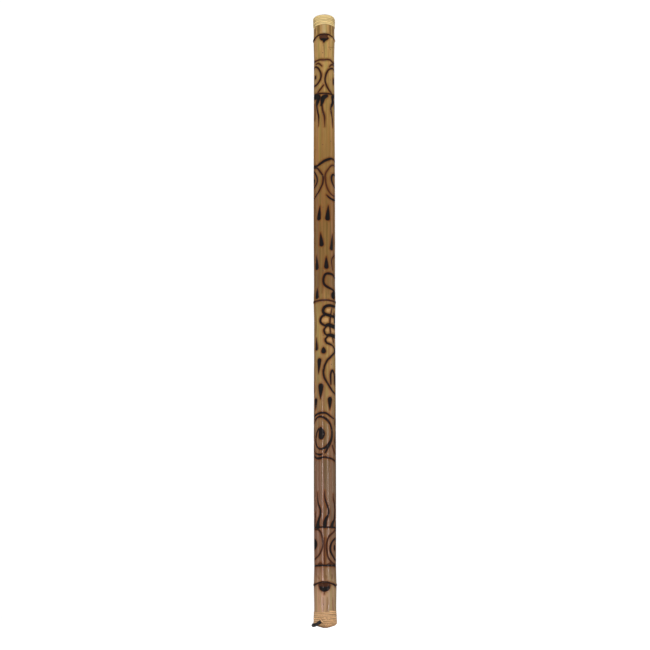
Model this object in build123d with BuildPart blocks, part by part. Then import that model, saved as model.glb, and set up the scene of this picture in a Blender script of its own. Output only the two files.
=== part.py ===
"""Bamboo rainstick: a hollow culm crossed by a spiral of pins, with a cane-covered plug in each end.

The stick stands along +Z. The origin is the lowest point of its bottom end, on the axis. The front is -Y.
A place on the stick is given by its angle from the front, positive towards +X, its radius and its height.
All sizes are in millimetres.
"""

import os
from math import cos, pi, radians, sin, tan

from build123d import *

# Overall
LENGTH = 1219.2  # 48 in, over both domed ends
COVER = 9.0  # from each domed end to the culm's cut end
TOP = LENGTH - COVER

# Culm: one bamboo stem with three nodes, its inner walls knocked through
WALL = 3.3
PLUG_R = 17.5  # bore inside each end
END_R = 19.6  # outside of each end, dressed down under the lashing
BOTTOM_SHOULDER = 24.0  # length of each dressed end
TOP_SHOULDER = 20.0
NECK_R = 20.5  # narrowest
BELLY_R = 21.4  # fullest, in the lower half of an internode
CROWN_R = 21.2  # above the last node
FLARE_R = 21.6  # where the stem swells at a node
FLARE_REACH = 36.0
CROWN_REACH = 12.0  # of the swelling above the last node
RIDGE_HALF = 1.5
NODE_HEIGHTS = (80.0, 624.5, 1164.0)
RIDGE_RADII = (22.6, 22.3, 22.7)  # crest of the sheath scar at each node
SKEW = 0.8  # below 1, this moves the fullest place down the internode
BANDS = 10  # straight tapers along each internode
SEPTUM_HALF = 2.0
SEPTUM_HOLE_R = 16.5

# Bud scars below the first and last node, on the front
BUD_R = 16.0
BUD_REACH = 22.5  # as proud as this from the axis
BUD_DROP = 8.0

# Pins: eight straight rows, bored in a spiral
ROWS = 8
ROW_STEP = 360 / ROWS
FIRST_ROW = -8.0
PIN_R = 1.0
PIN_RISE = 8.0  # from one pin of the spiral to the next
LOWEST_PIN = 44.0
PIN_RECESS = 0.3  # from the culm's surface to the pin's outer end
PIN_TIP = 15.5  # how far past the axis the pin's tip reaches, just short of the far wall
NODE_CLEARANCE = 7.0

# Plugs: a turned spigot with a domed head
SPIGOT = 14.0
PLUG_EDGE = 6.6  # heights of the dome, from the stick's end
PLUG_TIP = 1.8

# Cane over the ends: a coiled disc on the dome, an edging over the rim, and a lashing round the side
COIL_R = 18.3
COIL_EDGE = 4.6  # heights of the disc's underside, from the stick's end
COIL_MIDDLE = 1.5
COIL_TURNS = 5
RIM_R = 22.3
RIM_BEND = (21.2, 6.6)  # radius and height half-way round the rim
RIM_HIGH = 10.2
LASHINGS = {  # far edge, turns, and radii in the valleys between turns at the rim and at the far edge
    "bottom": (COVER + BOTTOM_SHOULDER, 6, 22.25, 21.0),
    "top": (COVER + TOP_SHOULDER, 5, 22.0, 21.6),
}
BEAD = 0.35  # how far a turn of cane bulges

# Pebbles: one stack in each channel between two pin rows
PEBBLE_RADII = (2.0, 1.7, 1.85)
LAYERS = 16
LAYER_RISE = 4.15
INNER_PEBBLE = 9.4  # distance from the axis
OUTER_PEBBLE = 13.8
PEBBLE_SPREAD = 2.05  # sideways, of the outer pair
PEBBLE_FLOOR = 0.2

# Hanging loop: a soft cord round the left of the bottom end.
# Each point of its route is an angle, a radius and a height.
CORD_R = 3.0
LOOP_ROUTE = (
    (-20, 23.8, 12.6),
    (-36, 24.1, 9.1),
    (-54, 23.9, 6.5),
    (-73, 23.5, 5.2),
    (-92, 23.3, 5.1),
    (-111, 23.5, 6.1),
    (-130, 23.9, 8.2),
    (-148, 24.1, 11.2),
    (-164, 23.8, 14.8),
)
ARC_SHARE = 0.45  # of the shorter run beside a bend

STARTS_AT_BASE = (Align.CENTER, Align.CENTER, Align.MIN)


def around(angle, radius, z):
    """The point at an angle from the front, a distance from the axis, and a height."""
    return Vector(radius * sin(radians(angle)), -radius * cos(radians(angle)), z)


def radial_plane(angle, radius, z):
    """A plane whose normal points outwards from the axis."""
    return Plane(origin=around(angle, radius, z), z_dir=around(angle, 1, 0))


def stem_radius(z):
    """The stem's outer radius, leaving out the flare and ridge of each node."""
    for low, high in zip(NODE_HEIGHTS, NODE_HEIGHTS[1:]):
        if low <= z <= high:
            share = (z - low) / (high - low)
            return NECK_R + (BELLY_R - NECK_R) * sin(pi * share**SKEW)
    return NECK_R if z < NODE_HEIGHTS[0] else CROWN_R


def band_heights(low, high):
    """Where the taper changes between the nodes at low and high."""
    first = low + FLARE_REACH
    step = (high - low - 2 * FLARE_REACH) / BANDS
    return [first + step * band for band in range(BANDS + 1)]


def outer_outline():
    """Radius and height along the outside, one list for each stretch between ridges."""
    first, last = NODE_HEIGHTS[0], NODE_HEIGHTS[-1]
    dressed = [(END_R, COVER), (END_R, COVER + BOTTOM_SHOULDER), (NECK_R, COVER + BOTTOM_SHOULDER)]
    stretches = [[*dressed, (NECK_R, first - FLARE_REACH), (FLARE_R, first - RIDGE_HALF)]]
    for low, high in zip(NODE_HEIGHTS, NODE_HEIGHTS[1:]):
        taper = [(stem_radius(z), z) for z in band_heights(low, high)]
        stretches.append([(FLARE_R, low + RIDGE_HALF), *taper, (FLARE_R, high - RIDGE_HALF)])
    crown = [(FLARE_R, last + RIDGE_HALF), (CROWN_R, last + CROWN_REACH), (CROWN_R, TOP - TOP_SHOULDER)]
    return [*stretches, [*crown, (END_R, TOP - TOP_SHOULDER), (END_R, TOP)]]


def bore_outline():
    """Radius and height along the bore, from the bottom end to the top, with a step at each inner wall."""
    points = [(PLUG_R, COVER), (PLUG_R, NODE_HEIGHTS[0] - SEPTUM_HALF)]
    for low, high in zip(NODE_HEIGHTS, NODE_HEIGHTS[1:]):
        inside = [low + SEPTUM_HALF, *band_heights(low, high), high - SEPTUM_HALF]
        points += [(SEPTUM_HOLE_R, low - SEPTUM_HALF), (SEPTUM_HOLE_R, low + SEPTUM_HALF)]
        points += [(stem_radius(z) - WALL, z) for z in inside]
    last = NODE_HEIGHTS[-1]
    points += [(SEPTUM_HOLE_R, last - SEPTUM_HALF), (SEPTUM_HOLE_R, last + SEPTUM_HALF)]
    return [*points, (PLUG_R, last + SEPTUM_HALF), (PLUG_R, TOP)]


def surface_radius(z):
    """The culm's outer radius at a height away from the ridges, along its straight tapers."""
    points = [point for stretch in outer_outline() for point in stretch]
    for (low_radius, low), (high_radius, high) in zip(points, points[1:]):
        if low <= z < high:
            return low_radius + (high_radius - low_radius) * (z - low) / (high - low)
    raise ValueError(f"no culm at {z}")


def pin_places():
    """Row, angle and height of each pin, climbing the spiral one row at a time."""
    places = []
    turn = 0
    z = LOWEST_PIN
    while z < TOP - TOP_SHOULDER - NODE_CLEARANCE:
        if all(abs(z - node) > NODE_CLEARANCE for node in NODE_HEIGHTS):
            row = turn % ROWS
            places.append((row, FIRST_ROW + row * ROW_STEP, z))
        turn += 1
        z += PIN_RISE
    return places


def beads(start, end, count, bulge):
    """A row of turns of cane seen end on, from start to end. Each is an arc that bulges to the right."""
    start = Vector(*start)
    step = (Vector(*end) - start) / count
    side = Vector(step.Y, -step.X).normalized() * bulge
    for turn in range(count):
        low = start + step * turn
        ThreePointArc(low, low + step / 2 + side, low + step)


def plug_dome():
    """The plug's domed face, which the coiled disc covers."""
    TangentArc((0, PLUG_TIP), (PLUG_R, PLUG_EDGE), tangent=(1, 0))


def save(piece, name):
    piece.part.label = name
    export_step(piece.part, f"parts/{name}.step")


def save_both_ends(bottom, name):
    """Write a bottom end piece, and the same piece upside down at the top of the stick."""
    with BuildPart() as top:
        mirror(bottom.part, about=Plane.XY.offset(LENGTH / 2))
    save(bottom, f"bottom_{name}")
    save(top, f"top_{name}")


os.makedirs("parts", exist_ok=True)

# Bamboo culm
with BuildPart() as culm:
    with BuildSketch(Plane.XZ):
        with BuildLine():
            for stretch in outer_outline():
                Polyline(*stretch)
            for z, crest in zip(NODE_HEIGHTS, RIDGE_RADII):
                ThreePointArc((FLARE_R, z - RIDGE_HALF), (crest, z), (FLARE_R, z + RIDGE_HALF))
            Polyline((END_R, TOP), (0, TOP), (0, COVER), (END_R, COVER))
        make_face()
    revolve(axis=Axis.Z)

    budded = (NODE_HEIGHTS[0], NODE_HEIGHTS[-1])
    with Locations(*[around(0, BUD_REACH - BUD_R, z - BUD_DROP) for z in budded]):
        Sphere(BUD_R)

    with BuildSketch(Plane.XZ):
        with BuildLine():
            Polyline((0, TOP), (0, COVER), *bore_outline(), (0, TOP))
        make_face()
    revolve(axis=Axis.Z, mode=Mode.SUBTRACT)

    # Pin holes, through one wall each
    with Locations(*[radial_plane(angle, PIN_TIP, z) for row, angle, z in pin_places()]):
        Cylinder(PIN_R, max(RIDGE_RADII) - PIN_TIP, align=STARTS_AT_BASE, mode=Mode.SUBTRACT)
save(culm, "bamboo_culm")

# Bamboo pins, driven in from outside. Each stops just short of the far wall.
for number in range(ROWS):
    with BuildPart() as pin_row:
        for row, angle, z in pin_places():
            if row == number:
                with Locations(radial_plane(angle, -PIN_TIP, z)):
                    Cylinder(PIN_R, PIN_TIP + surface_radius(z) - PIN_RECESS, align=STARTS_AT_BASE)
    save(pin_row, f"pin_row_{number + 1}")

# Pebbles, stacked on the bottom plug
for number in range(ROWS):
    outwards = around(FIRST_ROW + (number + 0.5) * ROW_STEP, 1, 0)
    sideways = Vector(0, 0, 1).cross(outwards)
    lowest = COVER + SPIGOT + PEBBLE_FLOOR + max(PEBBLE_RADII)
    with BuildPart() as pebbles:
        for layer in range(LAYERS):
            spots = ((INNER_PEBBLE, 0), (OUTER_PEBBLE, -PEBBLE_SPREAD), (OUTER_PEBBLE, PEBBLE_SPREAD))
            for place, (out, side) in enumerate(spots):
                with Locations(outwards * out + sideways * side + Vector(0, 0, lowest + layer * LAYER_RISE)):
                    Sphere(PEBBLE_RADII[(layer + place + number) % len(PEBBLE_RADII)])
    save(pebbles, f"pebbles_{number + 1}")

# Turned wooden plug: a spigot in the bore and a domed head
with BuildPart() as plug:
    with BuildSketch(Plane.XZ):
        with BuildLine():
            plug_dome()
            Polyline((PLUG_R, PLUG_EDGE), (PLUG_R, COVER + SPIGOT), (0, COVER + SPIGOT), (0, PLUG_TIP))
        make_face()
    revolve(axis=Axis.Z)
save_both_ends(plug, "plug")

# Disc of coiled cane over the plug's dome
with BuildPart() as end_coil:
    with BuildSketch(Plane.XZ):
        with BuildLine():
            plug_dome()
            eye = (COIL_R / COIL_TURNS, 0)
            middle = (COIL_R / 2, COIL_MIDDLE)
            Polyline((0, PLUG_TIP), (0, 0), eye)
            beads(eye, middle, 2, BEAD / 2)
            beads(middle, (COIL_R, COIL_EDGE), COIL_TURNS - 2, BEAD / 2)
            Polyline((COIL_R, COIL_EDGE), (COIL_R, COVER), (PLUG_R, COVER), (PLUG_R, PLUG_EDGE))
        make_face()
    revolve(axis=Axis.Z)
save_both_ends(end_coil, "end_coil")

# Cane edging that turns over the rim of the culm
with BuildPart() as rim_edging:
    with BuildSketch(Plane.XZ):
        with BuildLine():
            ThreePointArc((COIL_R, COIL_EDGE), RIM_BEND, (RIM_R, RIM_HIGH))
            Polyline(
                (RIM_R, RIM_HIGH),
                (END_R, RIM_HIGH),
                (END_R, COVER),
                (COIL_R, COVER),
                (COIL_R, COIL_EDGE),
            )
        make_face()
    revolve(axis=Axis.Z)
save_both_ends(rim_edging, "rim_edging")

# Turns of cane bound round each end of the culm
for end, (far_height, turns, rim_radius, far_radius) in LASHINGS.items():
    with BuildPart() as lashing:
        with BuildSketch(Plane.XZ):
            with BuildLine():
                beads((rim_radius, RIM_HIGH), (far_radius, far_height), turns, BEAD)
                Polyline(
                    (far_radius, far_height),
                    (END_R, far_height),
                    (END_R, RIM_HIGH),
                    (rim_radius, RIM_HIGH),
                )
            make_face()
        revolve(axis=Axis.Z)
        if end == "top":
            mirror(lashing.part, about=Plane.XY.offset(LENGTH / 2), mode=Mode.REPLACE)
    save(lashing, f"{end}_lashing")

# Hanging loop, with both ends tucked under the bottom lashing
corners = [around(*place) for place in LOOP_ROUTE]
runs = [end - start for start, end in zip(corners, corners[1:])]
bends = []
for before, after in zip(runs, runs[1:]):
    half_turn = radians(before.get_angle(after)) / 2
    bends.append(ARC_SHARE * min(before.length, after.length) / tan(half_turn))
with BuildPart() as hanging_loop:
    with BuildLine() as loop_route:
        FilletPolyline(*corners, radius=bends)
    loop_path = loop_route.wire()
    with BuildSketch(Plane(origin=loop_path @ 0, z_dir=loop_path % 0)):
        Circle(CORD_R)
    sweep(path=loop_path)
save(hanging_loop, "hanging_loop")
print("loop bend radii", [round(bend, 1) for bend in bends])
print("loop runs", [round(run.length, 1) for run in runs], "length", round(loop_path.length, 1))
print("loop volume over section", round(hanging_loop.part.volume / (pi * CORD_R**2), 1))
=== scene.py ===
"""Looks of the bamboo rainstick: burned culm, cane ends, hanging loop, materials and studio.

The stick stands along +Z with its front towards -Y. Lengths here are millimetres unless a comment says
otherwise, and become metres when a mesh is made. A place on the culm's skin is (across, height). across is
the distance round the stick from its front line, positive towards +X, on a circle of radius REFERENCE.
"""

import random
from math import atan2, cos, hypot, pi, radians, sin

import bpy
import numpy as np
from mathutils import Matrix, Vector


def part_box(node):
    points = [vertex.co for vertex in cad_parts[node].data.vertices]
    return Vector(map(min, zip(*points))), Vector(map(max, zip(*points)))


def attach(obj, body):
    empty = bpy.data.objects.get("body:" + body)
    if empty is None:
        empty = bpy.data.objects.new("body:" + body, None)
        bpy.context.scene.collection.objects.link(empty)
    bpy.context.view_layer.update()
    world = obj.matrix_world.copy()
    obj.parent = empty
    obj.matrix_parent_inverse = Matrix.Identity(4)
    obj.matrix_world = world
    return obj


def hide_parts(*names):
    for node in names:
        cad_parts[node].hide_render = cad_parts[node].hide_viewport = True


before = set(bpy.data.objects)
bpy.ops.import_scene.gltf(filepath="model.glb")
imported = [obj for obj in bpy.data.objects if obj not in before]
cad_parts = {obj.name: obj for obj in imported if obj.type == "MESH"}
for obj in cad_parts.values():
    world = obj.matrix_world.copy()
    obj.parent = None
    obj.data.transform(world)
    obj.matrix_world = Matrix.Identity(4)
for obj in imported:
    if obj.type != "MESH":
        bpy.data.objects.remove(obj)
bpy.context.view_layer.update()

MM = 0.001

# Sizes that the culm and its ends share with the frame
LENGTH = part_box("top_end_coil")[1][2] / MM
COVER = 9.0
TOP = LENGTH - COVER
NODE_HEIGHTS = (80.0, 624.5, 1164.0)
END_R = 19.6
FOOT_R, NECK_R, BELLY_R, CROWN_R = 20.85, 20.5, 21.4, 21.2
FLARE_R, FLARE_REACH, CROWN_REACH = 21.6, 36.0, 12.0
RIDGE_RADII, RIDGE_HALF = (22.6, 22.3, 22.7), 1.5
SKEW = 0.8
DRESSED = 16.0  # length of each end that is dressed down, a little less than the cane covers
WALL, PLUG_R, SEPTUM_R, SEPTUM_HALF = 3.3, 17.5, 16.5, 2.0
RIDGE_ARCHES = ((4.8, 20.0), (1.0, 30.0), (6.8, 17.0))  # rise of each node's line at the front, and its reach
ARCH_FADE = 11.0  # height over which a node's arch dies away
CAP_SHARE = 0.85  # how much of the room under the top cane that climb may use
GROOVE = 0.2  # how deep the figures are burned in
RIDGE_GROOVE, BARE_RIDGE = 0.4, 2.5  # share of that depth on a ridge, and its reach from the node
WAVES = ((0.06, 2, 160.0), (0.04, 5, -90.0))  # depth, count round the stick, and height of a radian of twist
UPPER_BUD, LOWER_BUD = (0.0, 1161.0, 7.5, 5.5), (-2.0, 75.0, 9.0, 6.5)  # middle and reach, across and up
BUD_RISE, FURROW_DEPTH, STRIPE_DEPTH = 0.55, 0.35, 0.22
FURROW_FOOT, FURROW_TOP, STRIPE_TOP, EASE = 1116.0, 1150.0, 62.0, 4.0
EDGE_GAP = 0.05  # from a dressed end to the first row past it
REFERENCE = 21.0
ROUND = 2 * pi * REFERENCE

# Grid of the culm's skin
COLUMNS = 130
ROW_STEP, FINE_STEP, FINE_REACH = 1.75, 0.6, 7.0

rng = random.Random(48)


# ---------------------------------------------------------------- meshes

def mesh_piece(name, points, faces, material, values=None):
    """A mesh object on the stick from points in millimetres. values are numbers kept at each point."""
    mesh = bpy.data.meshes.new(name)
    mesh.from_pydata((np.asarray(points) * MM).tolist(), [], faces)
    mesh.shade_smooth()
    for key, numbers in (values or {}).items():
        attribute = mesh.attributes.new(key, "FLOAT", "POINT")
        attribute.data.foreach_set("value", np.asarray(numbers, dtype=np.float32).ravel())
    mesh.materials.append(material)
    mesh.validate()
    piece = bpy.data.objects.new(name, mesh)
    bpy.context.scene.collection.objects.link(piece)
    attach(piece, "stick")
    return piece


def join(parts):
    """One list of points, faces and values from several (points, faces, values)."""
    points, faces, values = [], [], {}
    for part_points, part_faces, part_values in parts:
        first = len(points)
        points.extend(part_points)
        faces.extend([tuple(first + corner for corner in face) for face in part_faces])
        for key, numbers in part_values.items():
            values.setdefault(key, []).extend(numbers)
    return points, faces, values


def ring_faces(rows, columns, first=0):
    """Quads of a tube whose rows of points follow each other, each row closed on itself."""
    faces = []
    for row in range(rows - 1):
        low = first + row * columns
        for column in range(columns):
            following = (column + 1) % columns
            high = low + columns
            faces.append((low + column, low + following, high + following, high + column))
    return faces


# ---------------------------------------------------------------- shader helpers

def srgb(red, green, blue):
    """A colour for a shader from its 0 to 255 screen values."""
    linear = []
    for value in (red, green, blue):
        share = value / 255
        linear.append(share / 12.92 if share <= 0.04045 else ((share + 0.055) / 1.055) ** 2.4)
    return (*linear, 1.0)


class Graph:
    """A material under construction."""

    def __init__(self, name):
        self.material = bpy.data.materials.new(name)
        self.material.use_nodes = True
        self.tree = self.material.node_tree
        self.shader = self.tree.nodes["Principled BSDF"]

    def node(self, kind, inputs=(), **settings):
        node = self.tree.nodes.new(kind)
        for key, value in settings.items():
            setattr(node, key, value)
        for key, value in dict(inputs).items():
            if isinstance(value, bpy.types.NodeSocket):
                self.tree.links.new(value, node.inputs[key])
            else:
                node.inputs[key].default_value = value
        return node

    def value(self, name):
        return self.node("ShaderNodeAttribute", attribute_name=name).outputs["Fac"]

    def place(self):
        return self.node("ShaderNodeTexCoord").outputs["Object"]

    def height(self):
        return self.node("ShaderNodeSeparateXYZ", {0: self.place()}).outputs["Z"]

    def math(self, operation, first, second=0.0, third=0.0):
        inputs = {0: first, 1: second, 2: third}
        return self.node("ShaderNodeMath", inputs, operation=operation).outputs[0]

    def share(self, value, start, end, low=0.0, high=1.0):
        """How far value has come from start to end, as a smooth number from low to high."""
        inputs = {"Value": value, "From Min": start, "From Max": end, "To Min": low, "To Max": high}
        node = self.node("ShaderNodeMapRange", inputs, interpolation_type="SMOOTHSTEP")
        return node.outputs["Result"]

    def noise(self, place, scale, stretch=(1, 1, 1), detail=3.0, roughness=0.55):
        """Noise from 0 to 1. place is in metres, and stretch is the scale along each axis."""
        moved = self.node("ShaderNodeMapping", {"Vector": place, "Scale": stretch}).outputs[0]
        inputs = {"Vector": moved, "Scale": scale, "Detail": detail, "Roughness": roughness}
        return self.node("ShaderNodeTexNoise", inputs).outputs["Fac"]

    def ramp(self, value, *stops):
        """A colour ramp from (position, colour) stops."""
        node = self.node("ShaderNodeValToRGB", {"Fac": value})
        elements = node.color_ramp.elements
        while len(elements) < len(stops):
            elements.new(0.5)
        for element, (position, colour) in zip(elements, stops):
            element.position = position
            element.color = colour
        return node.outputs["Color"]

    def mix(self, share, first, second, blend="MIX"):
        node = self.node("ShaderNodeMix", {"Factor": share}, data_type="RGBA", blend_type=blend)
        for socket, value in ((node.inputs[6], first), (node.inputs[7], second)):
            if isinstance(value, bpy.types.NodeSocket):
                self.tree.links.new(value, socket)
            else:
                socket.default_value = value
        return node.outputs[2]

    def scale_brightness(self, colour, low, high, value):
        """The colour times a grey that goes from low to high with value."""
        span = {"Value": value, "To Min": low, "To Max": high}
        level = self.node("ShaderNodeMapRange", span).outputs["Result"]
        grey = self.node("ShaderNodeCombineColor", {0: level, 1: level, 2: level}).outputs[0]
        return self.mix(1.0, colour, grey, "MULTIPLY")

    def bump(self, height, distance, strength=1.0, normal=None):
        inputs = {"Height": height, "Distance": distance, "Strength": strength}
        if normal is not None:
            inputs["Normal"] = normal
        return self.node("ShaderNodeBump", inputs).outputs["Normal"]

    def finish(self, colour, roughness, normal, **fixed):
        """Link the colour, roughness and normal, and set the shader's other sockets."""
        for key, value in (("Base Color", colour), ("Roughness", roughness), ("Normal", normal)):
            if isinstance(value, bpy.types.NodeSocket):
                self.tree.links.new(value, self.shader.inputs[key])
            elif value is not None:
                self.shader.inputs[key].default_value = value
        for key, value in fixed.items():
            self.shader.inputs[key.replace("_", " ")].default_value = value
        return self.material


# ---------------------------------------------------------------- camera and hanging loop

CAMERA_PLACE = (-0.0004, -2.926, 0.030)  # metres
CAMERA_LENS = 84.5
TILT, ROLL = 10.65, 0.11  # degrees


def make_camera():
    """Low in front of the stick and tilted up, so that it stands full height in the square frame."""
    data = bpy.data.cameras.new("camera")
    data.sensor_width = 36
    data.lens = CAMERA_LENS
    camera = bpy.data.objects.new("camera", data)
    camera.location = CAMERA_PLACE
    camera.rotation_euler = (radians(90 + TILT), radians(ROLL), 0)
    bpy.context.scene.collection.objects.link(camera)
    bpy.context.scene.camera = camera


LOOP_DIAMETER, LOOP_LENGTH = 6.0, 62.5
LOOP_ROUTE = (  # angle from the front, radius and height
    (-20, 23.8, 12.6),
    (-34, 24.1, 8.8),
    (-50, 24.0, 5.8),
    (-69, 23.7, 4.7),
    (-90, 23.4, 5.2),
    (-111, 23.5, 6.6),
    (-130, 23.9, 8.8),
    (-148, 24.1, 11.6),
    (-164, 23.8, 14.8),
)


def around(angle, radius, height):
    """The point at an angle in degrees from the front, a radius and a height."""
    return np.array((radius * sin(radians(angle)), -radius * cos(radians(angle)), height))


def cord_material():
    """Waxed black cotton cord, with a fine plait and painted shade in the plait's grooves."""
    graph = Graph("black_cord_wax")
    place = graph.place()
    plait = graph.node("ShaderNodeTexVoronoi", {"Vector": place, "Scale": 900.0}, feature="DISTANCE_TO_EDGE")
    cells = plait.outputs["Distance"]
    dust = graph.noise(place, 260.0)
    colour = graph.ramp(dust, (0.35, srgb(14, 14, 16)), (0.75, srgb(40, 39, 42)))
    # Painted shade: the colour is darker in the grooves between the plait's cells
    colour = graph.scale_brightness(colour, 0.5, 1.1, graph.share(cells, 0.0, 0.35))
    normal = graph.bump(cells, 0.0004)
    return graph.finish(colour, graph.share(dust, 0.2, 0.9, 0.32, 0.55), normal, Specular_IOR_Level=0.5)


def make_hanging_loop():
    data = bpy.data.curves.new("hanging_loop_cord", "CURVE")
    data.dimensions = "3D"
    data.resolution_u = 12
    data.bevel_depth = LOOP_DIAMETER / 2 * MM
    data.bevel_resolution = 6
    data.use_fill_caps = True
    spline = data.splines.new("NURBS")
    spline.points.add(len(LOOP_ROUTE) - 1)
    for point, place in zip(spline.points, LOOP_ROUTE):
        point.co = (*(around(*place) * MM), 1.0)
    spline.order_u = 3
    spline.use_endpoint_u = True
    piece = bpy.data.objects.new("hanging_loop_cord", data)
    bpy.context.scene.collection.objects.link(piece)
    data.materials.append(cord_material())
    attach(piece, "stick")
    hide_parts("hanging_loop")


# ---------------------------------------------------------------- burned figures

FINE = 5  # steps between two points of a figure
REACH = 9.0  # how far from a figure its distance is worked out
ARCH_ROOM = 12.0  # more than any row of the skin climbs over a bud
THIN_END = 0.7  # width of a line's open ends, as a share of its width
PATCH_DEPTH = 0.8  # the deepest that a filled outline counts as, so that a stroke over it stays on top
TINY = 1e-6


def smooth(points, closed=False):
    """A curve through the points, as Catmull and Rom draw it. Each point is (across, height, half-width)."""
    points = [np.array(point, dtype=float) for point in points]
    if closed:
        turn = np.array((ROUND * round((points[-1][0] - points[0][0]) / ROUND + 0.01), 0, 0))
        before, after = [points[-1] - turn], [points[0] + turn, points[1] + turn]
    else:
        before, after = [points[0]], [points[-1]]
    chain = [*before, *points, *after]
    curve = []
    for first, start, end, last in zip(chain, chain[1:], chain[2:], chain[3:]):
        for step in range(FINE):
            t = step / FINE
            pull = (end - first) * t + (2 * first - 5 * start + 4 * end - last) * t**2
            curve.append(start + (pull + (3 * start - first - 3 * end + last) * t**3) / 2)
    return [*curve, chain[-2]]


def to_stroke(side, rise, run):
    """How far along a straight stroke its nearest place lies, from 0 to 1, and the gap to it."""
    length = max(run[0] ** 2 + run[1] ** 2, TINY)
    along = np.clip((side * run[0] + rise * run[1]) / length, 0, 1)
    return along, np.hypot(side - along * run[0], rise - along * run[1])


class Figures:
    """Signed distance from each point of the skin to the nearest figure, negative inside it, and its heat."""

    def __init__(self, across, height):
        self.across = across
        self.height = height
        self.rows = height.min(axis=1)
        self.distance = np.full(height.shape, REACH)
        self.heat = np.ones(height.shape)

    def window(self, low, high):
        """The rows of the skin that a figure between two heights can reach."""
        margin = REACH + ARCH_ROOM
        return slice(*np.searchsorted(self.rows, (low - margin, high + margin)))

    def beside(self, across, rows):
        """Distance round the stick from a line at across, the short way."""
        side = (self.across - across + ROUND / 2) % ROUND - ROUND / 2
        return np.broadcast_to(side, self.height[rows].shape)

    def keep(self, rows, distance, heat):
        nearer = distance < self.distance[rows]
        self.distance[rows] = np.where(nearer, distance, self.distance[rows])
        self.heat[rows] = np.where(nearer, heat, self.heat[rows])

    def taper(self, *points, heat=1.0, closed=False):
        """A stroke through (across, height, half-width) points. heat goes from 0, red-brown, to 1, black."""
        route = smooth(points, closed)
        for start, end in zip(route, route[1:]):
            rows = self.window(min(start[1], end[1]), max(start[1], end[1]))
            run = end - start
            along, gap = to_stroke(self.beside(start[0], rows), self.height[rows] - start[1], run)
            self.keep(rows, gap - start[2] - along * run[2], heat)

    def line(self, width, *points, heat=1.0, closed=False):
        """A stroke of one width, a little thinner at its open ends, through (across, height) points."""
        half = [width / 2] * len(points)
        if not closed:
            half[0] *= THIN_END
            half[-1] *= THIN_END
        self.taper(*[(*point, value) for point, value in zip(points, half)], heat=heat, closed=closed)

    def drop(self, tip, bulb, half):
        """A drop from its pointed tip to the far end of its bulb."""
        (tip_across, tip_height), (across, height) = tip, bulb
        centre = height + half if tip_height > height else height - half
        middle = (tip_across * 0.45 + across * 0.55, tip_height * 0.45 + centre * 0.55, half * 0.68)
        self.taper((tip_across, tip_height, 0.2), middle, (across, centre, half))

    def patch(self, *points, heat=1.0):
        """A filled outline. Where two overlap, the first keeps its heat."""
        outline = smooth([(*point, 0) for point in points] + [(*points[0], 0)])
        heights = [point[1] for point in outline]
        rows = self.window(min(heights), max(heights))
        side = self.beside(points[0][0], rows) + points[0][0]
        height = self.height[rows]
        inside = np.zeros(height.shape, dtype=bool)
        gap = np.full(height.shape, REACH)
        for start, end in zip(outline, outline[1:]):
            run = end - start
            gap = np.minimum(gap, to_stroke(side - start[0], height - start[1], run)[1])
            crossed = (start[1] > height) != (end[1] > height)
            slope = run[1] if run[1] else TINY
            inside ^= crossed & (side < start[0] + (height - start[1]) / slope * run[0])
        self.keep(rows, np.where(inside, -np.minimum(gap, PATCH_DEPTH), gap), heat)


def shifted(points, across, rise=0.0):
    """The points moved round the stick and up."""
    return [(point[0] + across, point[1] + rise, *point[2:]) for point in points]


def mirrored(points, about):
    """The points turned over about a line up the stick."""
    return [(2 * about - point[0], *point[1:]) for point in points]


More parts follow.
